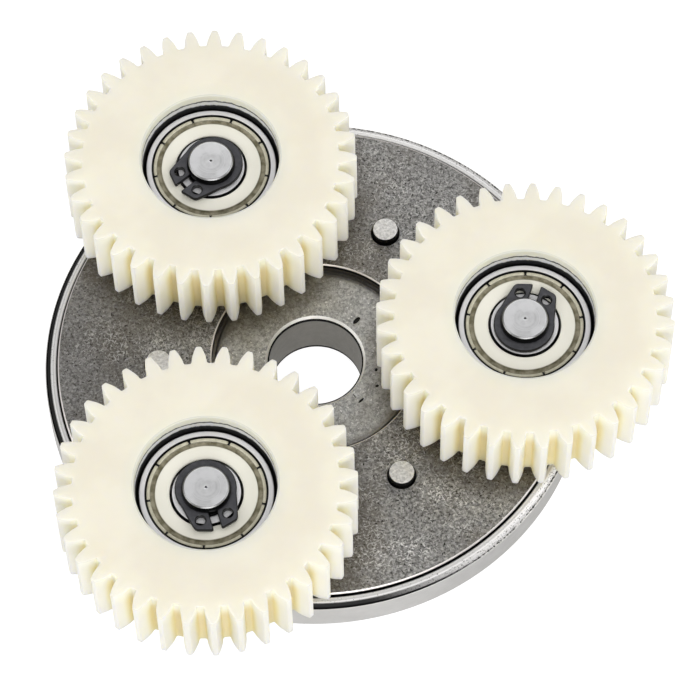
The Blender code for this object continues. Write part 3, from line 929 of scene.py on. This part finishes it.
def race_steel():
    """Ground race: grainy pale face, ringed by tool marks at its rim and darkened there by painted
    shade, brown with painted shade near the planets, with dents painted black as shade, a painted
    highlight on the mouth to the bore, and a ledge inside it and the bore's foot painted black as shade."""
    s = Shade("race_steel", 0.45, 0.85, specular=0.2)
    grain = s.ramp(s.noise(0.5, 5, 0.75), 0.34, 0.66)
    base = s.blend(grain, (0.27, 0.268, 0.26), (0.66, 0.655, 0.64))
    patches = s.times(s.ramp(s.noise(5, 4), 0.45, 0.7), 0.3)
    base = s.blend(patches, base, (0.26, 0.235, 0.20))
    speck = s.ramp(s.noise(0.35, 2, 0.5, warp=0.5), 0.62, 0.70)
    base = s.blend(speck, base, (0.85, 0.84, 0.82))
    # Painted shade: brown near the planets.
    base = s.blend(s.times(s.near_planet(27.5, 23), 0.45), base, (0.12, 0.105, 0.09))
    # Tool marks round the rim, darkened there by painted shade.
    rim = s.blend(s.lines(s.radius, 0.3, 3), (0.16, 0.15, 0.14), (0.46, 0.44, 0.42))
    base = s.blend(s.times(s.ramp(s.radius, 14.6, 16.2), 0.7), base, rim)
    # Painted shade: the dents are painted black.
    sunk = s.times(s.below(s.z, RACE_TOP - 0.05), s.above(s.z, RACE_TOP - DENT_DEPTH - 0.1))
    on_face = s.times(s.above(s.radius, AXLE_BORE + 0.8), s.below(s.radius, 14))
    base = s.blend(s.times(sunk, on_face), base, (0.03, 0.028, 0.026))
    bore = s.below(s.radius, AXLE_BORE + BORE_BEVEL - 0.02)
    wall = s.blend(s.noise(1.4, 4), (0.36, 0.348, 0.32), (0.48, 0.463, 0.43))
    base = s.blend(bore, base, wall)
    # Painted highlight: the bore's mouth is painted bright.
    mouth = s.times(bore, s.above(s.z, RACE_TOP - 0.8))
    bright = s.blend(s.noise(1.2, 3), (0.84, 0.83, 0.81), (0.97, 0.96, 0.94))
    base = s.blend(mouth, base, bright)
    # Painted shade: black on the ledge and at the foot of the bore.
    ledge = s.times(mouth, s.below(s.radius, AXLE_BORE + BORE_LEDGE))
    foot = s.ramp(s.z, RACE_BASE + 1.15, RACE_BASE + 1.0)
    black = s.times(bore, s.most(ledge, foot))
    s.colour(s.blend(black, base, SHADE_BLACK))
    s.metal(mouth, 0.85, 0.45)
    s.rough(grain, 0.36, 0.5)
    s.bump(grain, 0.012)
    return s.material


def rivet_steel():
    """Rivet heads: bright, grainy from the punch, with the side painted black as shade."""
    s = Shade("rivet_steel", 0.42, 0.9)
    grain = s.ramp(s.noise(0.5, 5, 0.65), 0.35, 0.65)
    head = s.blend(grain, (0.64, 0.63, 0.62), (0.96, 0.95, 0.94))
    # Painted shade: the side is painted black.
    side = s.above(s.radius, RIVET_RADIUS - 0.1)
    s.colour(s.blend(side, head, SHADE_DARK))
    s.rough(grain, 0.35, 0.55)
    s.bump(grain, 0.03)
    return s.material


def pin_steel():
    """Pin ends: bright turned steel with tool rings, with painted shade darkening the dimple and
    chamfer and painting the side black."""
    s = Shade("pin_steel", 0.34, 0.95)
    rings = s.lines(s.radius, 0.3, 4)
    cloud = s.ramp(s.noise(2.2, 4), 0.35, 0.65)
    turned = s.blend(rings, (0.52, 0.52, 0.52), (0.96, 0.96, 0.97))
    face = s.blend(cloud, turned, (0.90, 0.90, 0.91))
    # Painted shade: the chamfer and dimple are painted dark.
    chamfer = s.above(s.radius, PIN_FACE - 0.01)
    face = s.blend(chamfer, face, (0.28, 0.28, 0.28))
    face = s.blend(s.below(s.radius, PIN_DIMPLE), face, (0.12, 0.12, 0.12))
    # Painted shade: the side is painted black.
    side = s.times(s.above(s.radius, PIN_FACE + 0.15), s.below(s.z, PIN_TOP - 0.2))
    s.colour(s.blend(side, face, (0.012, 0.012, 0.013)))
    s.rough(rings, 0.26, 0.45)
    s.bump(rings, 0.006)
    return s.material


def shell_steel():
    """The clutch shell: a bright brushed shoulder with pits, its slope on one side painted black
    as a dark reflection, over a groove painted black as shade and a satin band painted darker at its
    foot as shade. The lip round the plate is painted dark as shade."""
    s = Shade("shell_steel", 0.4, 0.55, specular=0.15)
    line = s.ramp(s.lines(s.plus(s.radius, s.z), 0.28, 3), 0.3, 0.7)
    brushed = s.blend(line, (0.68, 0.67, 0.66), (0.94, 0.93, 0.92))
    slope = s.ramp(s.radius, SHOULDER_EDGE + 0.05, SHOULDER_EDGE + 0.35)
    pitted = s.minus(s.noise(0.25, 3, 0.6), s.times(slope, 0.07))
    brushed = s.blend(s.ramp(pitted, 0.38, 0.30), brushed, (0.22, 0.21, 0.20))
    # Painted reflection: the slope on one side is painted black.
    across = s.plus(s.x, s.times(s.y, 0.5))
    shaded_slope = s.times(slope, s.ramp(across, 14, -14))
    brushed = s.blend(shaded_slope, brushed, SHADE_DARK)
    satin = s.blend(s.noise(2.5, 4), (0.55, 0.54, 0.525), (0.67, 0.66, 0.645))
    # Painted shade: darker at the band's foot.
    satin = s.blend(s.ramp(s.z, SHELL_BASE + 0.3, SHELL_BASE + 0.15), satin, (0.16, 0.155, 0.15))
    base = s.blend(s.above(s.radius, GROOVE_OUTSIDE + 0.05), brushed, satin)
    # Painted shade: the groove is painted black, whole on one side and broken elsewhere.
    groove = s.times(s.ramp(s.radius, GROOVE_INSIDE - 0.06, GROOVE_INSIDE),
                     s.ramp(s.radius, GROOVE_OUTSIDE + 0.08, GROOVE_OUTSIDE + 0.02),
                     s.above(s.z, BAND_TOP - 0.4))
    broken = s.most(s.ramp(across, 14, -5), s.ramp(s.noise(0.45, 3), 0.42, 0.66))
    base = s.blend(s.times(groove, broken), base, SHADE_DARK)
    # Painted shade: the lip round the plate is painted dark.
    lip = s.times(s.below(s.radius, PLATE_RADIUS + RECESS_GAP + 0.02),
                  s.above(s.radius, PLATE_RADIUS - 0.5))
    s.colour(s.blend(lip, base, (0.05, 0.035, 0.028)))
    s.metal(s.most(lip, groove, shaded_slope), 0.55, 0.0)
    s.rough(line, 0.36, 0.5)
    s.bump(line, 0.01)
    return s.material


def shield_steel():
    """Pale sheet under a thin oily film, olive in the pressed groove, and a rim crimped at
    notches; the notches and both edges are painted black as shade."""
    s = Shade("shield_steel", 0.3, 0.03)
    ivory = s.blend(s.noise(3, 3), (0.98, 0.95, 0.82), (1.0, 0.98, 0.88))
    groove = s.times(s.ramp(s.radius, SHIELD_STEP - 0.1, SHIELD_STEP + 0.1),
                     s.ramp(s.radius, SHIELD_CRIMP + 0.12, SHIELD_CRIMP - 0.03))
    olive = s.blend(s.ramp(s.noise(1.2, 3), 0.3, 0.7), (0.13, 0.115, 0.06), (0.34, 0.31, 0.22))
    base = s.blend(groove, ivory, olive)
    crimped = s.blend(s.noise(0.8, 3), (0.45, 0.42, 0.30), (0.80, 0.77, 0.62))
    base = s.blend(s.above(s.radius, SHIELD_CRIMP + 0.04), base, crimped)
    # Painted shade: the notches and both edges of the shield are painted black.
    middle = (BEARING_TOP + BEARING_BASE) / 2
    sunk = s.minus(BEARING_TOP - middle, s.maths("ABSOLUTE", s.minus(s.z, middle)))
    notch = s.times(s.above(sunk, NOTCH_DEPTH - 0.03), s.above(s.radius, SHIELD_CRIMP + 0.02))
    outer_edge = s.above(s.radius, SHIELD_RIM - 0.04)
    inner_edge = s.below(s.radius, SHIELD_EDGE - 0.03)
    s.colour(s.blend(s.most(notch, outer_edge, inner_edge), base, SHADE_DARK))
    s.rough(s.noise(1.0, 3), 0.25, 0.4)
    s.bump(s.noise(0.25, 3), 0.004)
    return s.material


def black_spring_steel():
    """Oiled black spring steel with a paler face, and edges and sides painted black as shade."""
    s = Shade("black_spring_steel", 0.38, 0.5)
    face = s.blend(s.noise(0.8, 4), (0.035, 0.035, 0.04), (0.11, 0.11, 0.12))
    # Painted shade: black below the top face.
    top = s.ramp(s.z, CLIP_TOP - 0.03, CLIP_TOP - 0.01)
    s.colour(s.blend(top, SHADE_BLACK, face))
    s.rough(s.noise(0.5, 4), 0.3, 0.5)
    s.bump(s.noise(0.3, 4), 0.006)
    return s.material


def polished_steel():
    """Ground bearing steel: bright ring faces, with painted black shade in the clearances beside
    the shield and where the outer ring's edge turns down."""
    s = Shade("polished_steel", 0.35, 0.4)
    face = s.blend(s.noise(1.5, 2), (0.82, 0.81, 0.82), (0.95, 0.94, 0.95))
    # Painted shade: black in the clearances and on the outer ring's turned-down edge.
    gap = s.times(s.ramp(s.radius, RING_EDGE - 0.3, RING_EDGE - 0.2),
                  s.ramp(s.radius, RING_EDGE + 0.1, RING_EDGE + 0.04))
    corner = s.times(s.ramp(s.radius, RING_SHOULDER + 0.01, RING_SHOULDER + 0.11),
                     s.below(s.radius, BEARING_RADIUS + 1))
    collar = s.times(s.ramp(s.radius, COLLAR_EDGE - 0.04, COLLAR_EDGE + 0.02),
                     s.below(s.radius, SHIELD_EDGE + 0.05))
    s.colour(s.blend(s.most(gap, corner, collar), face, (0.01, 0.01, 0.01)))
    s.rough(s.noise(0.6, 3), 0.34, 0.46)
    s.bump(s.noise(0.9, 2), 0.001)
    return s.material


def floor_material():
    """Matt white paper, lit evenly from below so that it holds no shadow, and dimmer towards
    the object than towards the viewer."""
    s = Shade("studio_floor", 0.9, 0.0)
    s.colour(s.blend(s.noise(40, 2), (0.24, 0.24, 0.24), (0.26, 0.26, 0.26)))
    s.shader.inputs["Emission Color"].default_value = (1, 1, 1, 1)
    seen = s.node("ShaderNodeLightPath").outputs["Is Camera Ray"]
    glow = s.plus(s.times(seen, FLOOR_GLOW - FLOOR_BOUNCE), FLOOR_BOUNCE)
    s.link(glow, s.shader.inputs["Emission Strength"])
    return s.material


# Build

def build_carrier():
    plate = plate_steel()
    bright = rivet_steel()
    show(add_object("carrier_disc", carrier_plate_mesh()), "carrier_plate", "carrier",
         plate)
    show(add_object("back_disc", back_plate_mesh()), "back_plate", "carrier", plate)
    show(add_object("clutch_rim", clutch_shell_mesh()), "clutch_shell", "carrier",
         shell_steel())
    show(add_object("race_ring", inner_race_mesh()), "inner_race", "clutch_race",
         race_steel())
    rivet = rivet_mesh()
    for number, place in zip(PLANETS, RIVET_PLACES):
        show(add_object(f"rivet_head_{number}", rivet.copy(), place), f"rivet_{number}", "carrier",
             bright)


def build_planets():
    cream = nylon()
    polished = polished_steel()
    shield_finish = shield_steel()
    spring = black_spring_steel()
    turned = pin_steel()
    shapes = {
        "gear": planet_gear_mesh(), "outer": outer_ring_mesh(), "inner": inner_ring_mesh(),
        "upper": shield_mesh(), "lower": shield_mesh(flip=True), "clip": circlip_mesh(),
        "pin": planet_pin_mesh(),
    }
    for i, place in enumerate(PIN_PLACES):
        number = i + 1
        phase = TOOTH_PHASES[i]
        notches = SHIELD_TURNS[i]
        planet = f"planet_{number}"
        pieces = [
            ("toothed_wheel", "gear", "planet_gear", planet, "nylon", cream, phase),
            ("outer_race", "outer", "bearing_outer_ring", planet, "bearing_steel", polished, 0),
            ("inner_collar", "inner", "bearing_inner_ring", "carrier", "bearing_steel", polished, 0),
            ("top_shield", "upper", "upper_shield", planet, "shield_steel", shield_finish, notches),
            ("bottom_shield", "lower", "lower_shield", planet, "shield_steel", shield_finish, notches),
            ("snap_ring", "clip", "circlip", "carrier", "spring_steel", spring, CIRCLIP_ANGLES[i]),
            ("axle_pin", "pin", "planet_pin", "carrier", "turned_steel", turned, 0),
        ]
        for name, shape, node, body, slot, material, turn in pieces:
            obj = add_object(f"{name}_{number}", shapes[shape].copy(), place, turn)
            show(obj, f"{node}_{number}", body, material)


def finish_hidden_nodes():
    """The rollers, springs and ball cages stay as their CAD nodes, with finished materials."""
    finishes = {"clutch_roller": (ROLLERS, polished_steel()),
                "roller_spring": (ROLLERS, black_spring_steel()),
                "ball_cage": (PLANETS, polished_steel())}
    for stem, (numbers, material) in finishes.items():
        for number in numbers:
            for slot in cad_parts[f"{stem}_{number}"].material_slots:
                slot.material = material


def build_floor():
    bm = bmesh.new()
    bmesh.ops.create_grid(bm, x_segments=2, y_segments=2, size=FLOOR_REACH)
    mesh = bpy.data.meshes.new("studio_floor")
    bm.to_mesh(mesh)
    bm.free()
    floor = add_object("studio_floor", mesh)
    floor.location.z = cad_bounds[0][2] - FLOOR_DROP * MM
    mesh.materials.append(floor_material())


def add_softbox(name, direction, power):
    data = bpy.data.lights.new(name, "AREA")
    data.shape = "SQUARE"
    data.size = LIGHT_SIZE
    data.energy = power
    light = bpy.data.objects.new(name, data)
    bpy.context.collection.objects.link(light)
    away = Vector(direction).normalized()
    light.location = Vector(LIGHT_TARGET) + away * LIGHT_DISTANCE
    light.rotation_euler = away.to_track_quat("Z", "Y").to_euler()


def build_studio():
    """A pale dome over a dark horizon, with a softbox on each side to light the teeth."""
    world = bpy.data.worlds.new("studio")
    world.use_nodes = True
    tree = world.node_tree
    coordinates = tree.nodes.new("ShaderNodeTexCoord")
    split = tree.nodes.new("ShaderNodeSeparateXYZ")
    tree.links.new(coordinates.outputs["Generated"], split.inputs[0])
    height = tree.nodes.new("ShaderNodeMapRange")
    height.interpolation_type = "SMOOTHSTEP"
    height.inputs["From Min"].default_value = HORIZON_DARK
    height.inputs["From Max"].default_value = HORIZON_PALE
    height.inputs["To Min"].default_value = HORIZON_STRENGTH
    height.inputs["To Max"].default_value = DOME_STRENGTH
    tree.links.new(split.outputs["Z"], height.inputs["Value"])
    background = tree.nodes["Background"]
    background.inputs["Color"].default_value = (1, 1, 1, 1)
    tree.links.new(height.outputs["Result"], background.inputs["Strength"])
    bpy.context.scene.world = world
    bpy.context.scene.view_settings.view_transform = "Standard"
    for name, (direction, power) in SOFTBOXES.items():
        add_softbox(name, direction, power)


def place_camera():
    data = bpy.data.cameras.new("camera")
    data.lens = CAMERA_LENS
    data.sensor_width = SENSOR
    data.clip_end = CAMERA_REACH
    camera = bpy.data.objects.new("camera", data)
    bpy.context.collection.objects.link(camera)
    azimuth = math.radians(CAMERA_AZIMUTH)
    elevation = math.radians(CAMERA_ELEVATION)
    away = Vector((math.sin(azimuth) * math.cos(elevation), -math.cos(azimuth) * math.cos(elevation),
                   math.sin(elevation)))
    turn = away.to_track_quat("Z", "Y").to_matrix() @ Matrix.Rotation(math.radians(CAMERA_ROLL), 3, "Z")
    place = (Vector(CAMERA_TARGET) + away * CAMERA_DISTANCE) * MM
    camera.matrix_world = Matrix.Translation(place) @ turn.to_4x4()
    bpy.context.scene.camera = camera


place_camera()
build_studio()
build_floor()
build_carrier()
build_planets()
finish_hidden_nodes()
